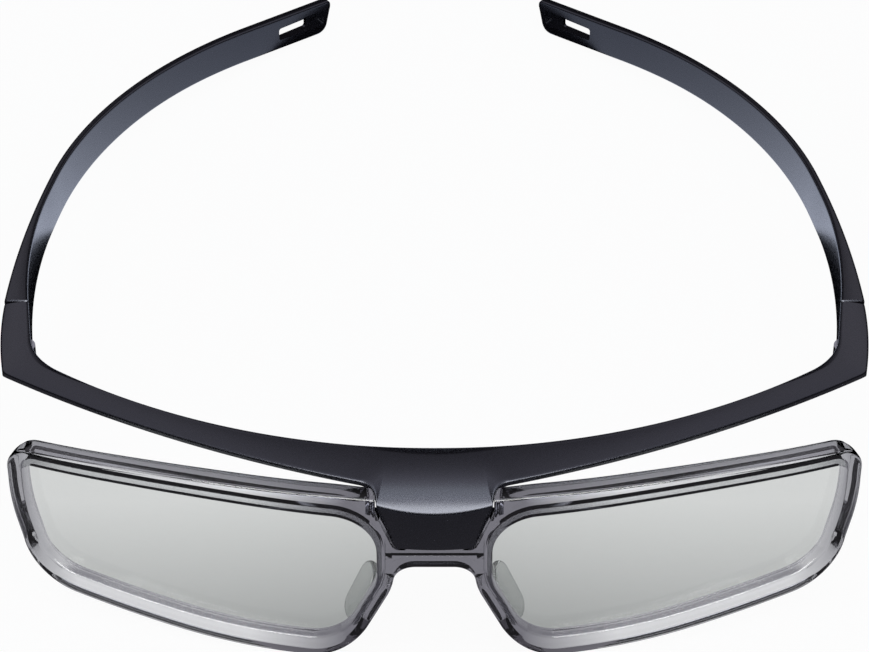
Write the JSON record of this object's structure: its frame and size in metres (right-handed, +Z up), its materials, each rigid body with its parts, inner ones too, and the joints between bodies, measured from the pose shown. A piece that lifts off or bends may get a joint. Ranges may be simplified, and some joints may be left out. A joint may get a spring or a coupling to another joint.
{
  "type": "3d glasses",
  "caption": "Passive 3-D viewing glasses: a painted brow bar with folding curved temples carries a smoked clear lens frame with grey polarising lenses and nose pads.",
  "frame": {"origin": "on the table under the middle of the glasses' outer box, with the temples open", "axes": "+X to the right as the picture shows it, +Y from the lenses to the temple tips, +Z up from the table"},
  "size_m": [0.1644, 0.174, 0.04],
  "materials": {
    "painted_abs": "satin charcoal paint with a fine metallic flake",
    "smoked_polycarbonate": "polished smoke-grey clear moulding",
    "polariser": "smooth grey polarising film",
    "clear_silicone": "soft clear moulding",
    "hinge_steel": "plain bright metal"
  },
  "bodies": {
    "front": {"brow_bar": "painted_abs", "lens_frame": "smoked_polycarbonate", "left_lens": "polariser", "right_lens": "polariser", "left_nose_pad": "clear_silicone", "right_nose_pad": "clear_silicone", "left_front_leaf": "hinge_steel", "right_front_leaf": "hinge_steel", "left_hinge_screw": "hinge_steel", "right_hinge_screw": "hinge_steel", "bridge_screws": "hinge_steel"},
    "left_temple": {"left_temple": "painted_abs", "left_temple_leaf": "hinge_steel"},
    "right_temple": {"right_temple": "painted_abs", "right_temple_leaf": "hinge_steel"}
  },
  "joints": [
    {"name": "left_temple_fold", "type": "hinge", "parent": "front", "child": "left_temple", "pos_m": [-0.0775, -0.03835, 0.02864], "axis": [0, -0.1558, -0.9878], "range_deg": [0, 60]},
    {"name": "right_temple_fold", "type": "hinge", "parent": "front", "child": "right_temple", "pos_m": [0.0775, -0.03835, 0.02864], "axis": [0, 0.1558, 0.9878], "range_deg": [0, 72]}
  ]
}
